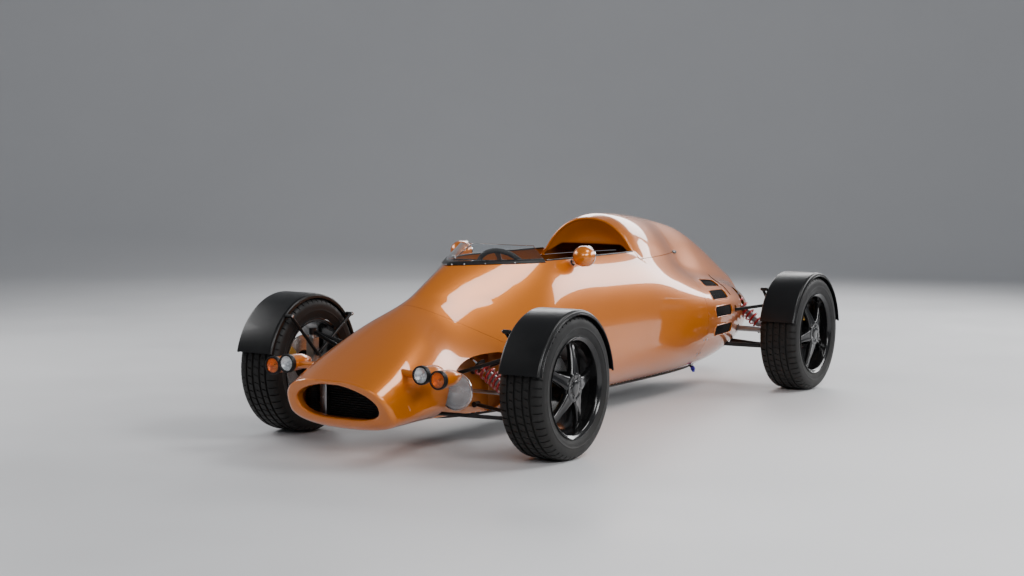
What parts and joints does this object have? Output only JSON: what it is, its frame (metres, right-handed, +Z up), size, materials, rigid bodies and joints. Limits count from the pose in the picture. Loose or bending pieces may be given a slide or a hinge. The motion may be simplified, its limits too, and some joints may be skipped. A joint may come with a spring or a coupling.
{
  "type": "open wheel racing car",
  "caption": "Open wheel racing car with a cigar body, cycle mudguards and a tandem cockpit; wheels roll and the front pair steers.",
  "frame": {"origin": "on the ground under the middle of the car", "axes": "+X forward along the car, +Y to the car's left, +Z up"},
  "size_m": [3.5249, 1.488, 0.9067],
  "materials": {
    "body_paint": "gloss pearl",
    "chassis_paint": "gloss",
    "black_steel": "satin",
    "floor": "satin",
    "black_trim": "satin",
    "radiator_metal": "matt black",
    "grey_steel": "satin",
    "seat_cover": "matt",
    "wheel_grip": "matt",
    "screen": "clear",
    "clear_lens": "fluted",
    "amber_lens": "fluted",
    "red_lens": "fluted",
    "lamp_chrome": "polished",
    "spring_red": "gloss",
    "upright_metal": "satin",
    "caliper_gold": "satin",
    "disc_steel": "turned",
    "rim_black": "gloss",
    "tyre": "matt",
    "engine_metal": "cast"
  },
  "bodies": {
    "front_wheel_left": {"front_tyre_left": "tyre", "front_rim_left": "rim_black", "front_disc_left": "disc_steel"},
    "front_wheel_right": {"front_tyre_right": "tyre", "front_rim_right": "rim_black", "front_disc_right": "disc_steel"},
    "rear_wheel_left": {"rear_tyre_left": "tyre", "rear_rim_left": "rim_black", "rear_disc_left": "disc_steel"},
    "rear_wheel_right": {"rear_tyre_right": "tyre", "rear_rim_right": "rim_black", "rear_disc_right": "disc_steel"},
    "front_knuckle_left": {"front_upright_left": "upright_metal", "front_caliper_left": "caliper_gold", "front_mudguard_left": "black_trim"},
    "front_knuckle_right": {"front_upright_right": "upright_metal", "front_caliper_right": "caliper_gold", "front_mudguard_right": "black_trim"},
    "rack_bar": {"track_rods": "grey_steel"},
    "steering_wheel": {"steering_wheel": "wheel_grip"},
    "chassis": {"amber_lenses": "amber_lens", "chassis_tub": "chassis_paint", "clear_lenses": "clear_lens", "coil_springs": "spring_red", "dampers": "grey_steel", "dashboard": "black_trim", "drive_shafts": "grey_steel", "engine_block": "engine_metal", "floor_plate": "floor", "front_seat": "seat_cover", "front_wishbones": "black_steel", "headlamp_lenses": "clear_lens", "headlamps": "lamp_chrome", "headrest_fairing": "body_paint", "lamp_pods": "body_paint", "main_body": "body_paint", "mirrors": "body_paint", "nose_panel": "body_paint", "nose_strut": "grey_steel", "radiator": "radiator_metal", "rear_calipers": "caliper_gold", "rear_frame": "black_steel", "rear_lamps": "red_lens", "rear_mudguards": "black_trim", "rear_seat": "seat_cover", "rear_uprights": "upright_metal", "rear_wishbones": "black_steel", "steering_rack": "black_steel", "tail_panel": "body_paint", "tailpipe": "grey_steel", "vent_mesh": "black_trim", "windscreen": "screen", "windscreen_seal": "black_trim"}
  },
  "joints": [
    {"name": "steer_left", "type": "hinge", "parent": "chassis", "child": "front_knuckle_left", "pos_m": [1.119, 0.565, 0.288], "axis": [0, 0, 1], "range_deg": [-25, 25]},
    {"name": "spin_front_left", "type": "hinge", "parent": "front_knuckle_left", "child": "front_wheel_left", "pos_m": [1.119, 0.641, 0.288], "axis": [0, 1, 0], "continuous": true},
    {"name": "spin_rear_left", "type": "hinge", "parent": "chassis", "child": "rear_wheel_left", "pos_m": [-1.341, 0.641, 0.288], "axis": [0, 1, 0], "continuous": true},
    {"name": "steer_right", "type": "hinge", "parent": "chassis", "child": "front_knuckle_right", "pos_m": [1.119, -0.565, 0.288], "axis": [0, 0, 1], "range_deg": [-25, 25]},
    {"name": "spin_front_right", "type": "hinge", "parent": "front_knuckle_right", "child": "front_wheel_right", "pos_m": [1.119, -0.641, 0.288], "axis": [0, 1, 0], "continuous": true},
    {"name": "spin_rear_right", "type": "hinge", "parent": "chassis", "child": "rear_wheel_right", "pos_m": [-1.341, -0.641, 0.288], "axis": [0, 1, 0], "continuous": true},
    {"name": "rack_slide", "type": "slide", "parent": "chassis", "child": "rack_bar", "axis": [0, 1, 0], "range_m": [-0.0481, 0.0481]},
    {"name": "steering_wheel_turn", "type": "hinge", "parent": "chassis", "child": "steering_wheel", "pos_m": [0.469, 0, 0.655], "axis": [-0.8525, 0, 0.5228], "range_deg": [-201, 201]}
  ],
  "couplings": [
    {"joint": "steer_right", "follows": "steer_left", "ratio": 1},
    {"joint": "rack_slide", "follows": "steer_left", "m_per_rad": -0.11},
    {"joint": "steering_wheel_turn", "follows": "steer_left", "ratio": 8}
  ]
}
